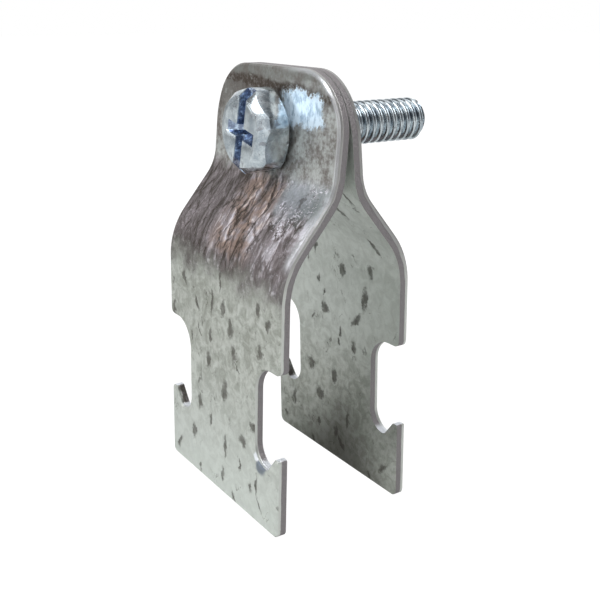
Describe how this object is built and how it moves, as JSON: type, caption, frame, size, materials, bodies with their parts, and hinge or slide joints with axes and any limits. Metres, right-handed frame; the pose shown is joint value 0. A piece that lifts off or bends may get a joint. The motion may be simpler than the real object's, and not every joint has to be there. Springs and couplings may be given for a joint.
{
  "type": "strut pipe clamp",
  "caption": "Two-piece pipe clamp that hooks into a strut channel and is closed round the pipe by a hex head screw and a nut through its ears.",
  "frame": {"origin": "midway between the two straps at the level of their feet", "axes": "+X along the pipe, +Y along the screw from its head to its tip, +Z from the feet to the ears"},
  "size_m": [0.0318, 0.0355, 0.0622],
  "materials": {
    "galvanised_sheet": "galvanised, light grey, slightly matt, with small dark flecks",
    "zinc_screw": "bright zinc plating with a blue tint",
    "zinc_nut": "bright zinc plating with a blue tint"
  },
  "bodies": {
    "front_strap": {"front_strap": "galvanised_sheet"},
    "screw": {"clamp_screw": "zinc_screw"},
    "nut": {"nut": "zinc_nut"},
    "rear_strap": {"rear_strap": "galvanised_sheet"}
  },
  "joints": [
    {"name": "screw_turn", "type": "hinge", "parent": "front_strap", "child": "screw", "pos_m": [0, 0, 0.0536], "axis": [0, -1, 0], "range_deg": [0, 4500]},
    {"name": "nut_travel", "type": "slide", "parent": "front_strap", "child": "nut", "axis": [0, 1, 0], "range_m": [0, 0.01588]},
    {"name": "rear_strap_swivel", "type": "hinge", "parent": "nut", "child": "rear_strap", "pos_m": [0, 0, 0.0536], "axis": [0, 1, 0], "continuous": true}
  ],
  "couplings": [
    {"joint": "screw_turn", "follows": "nut_travel", "rad_per_m": 4947.4}
  ]
}
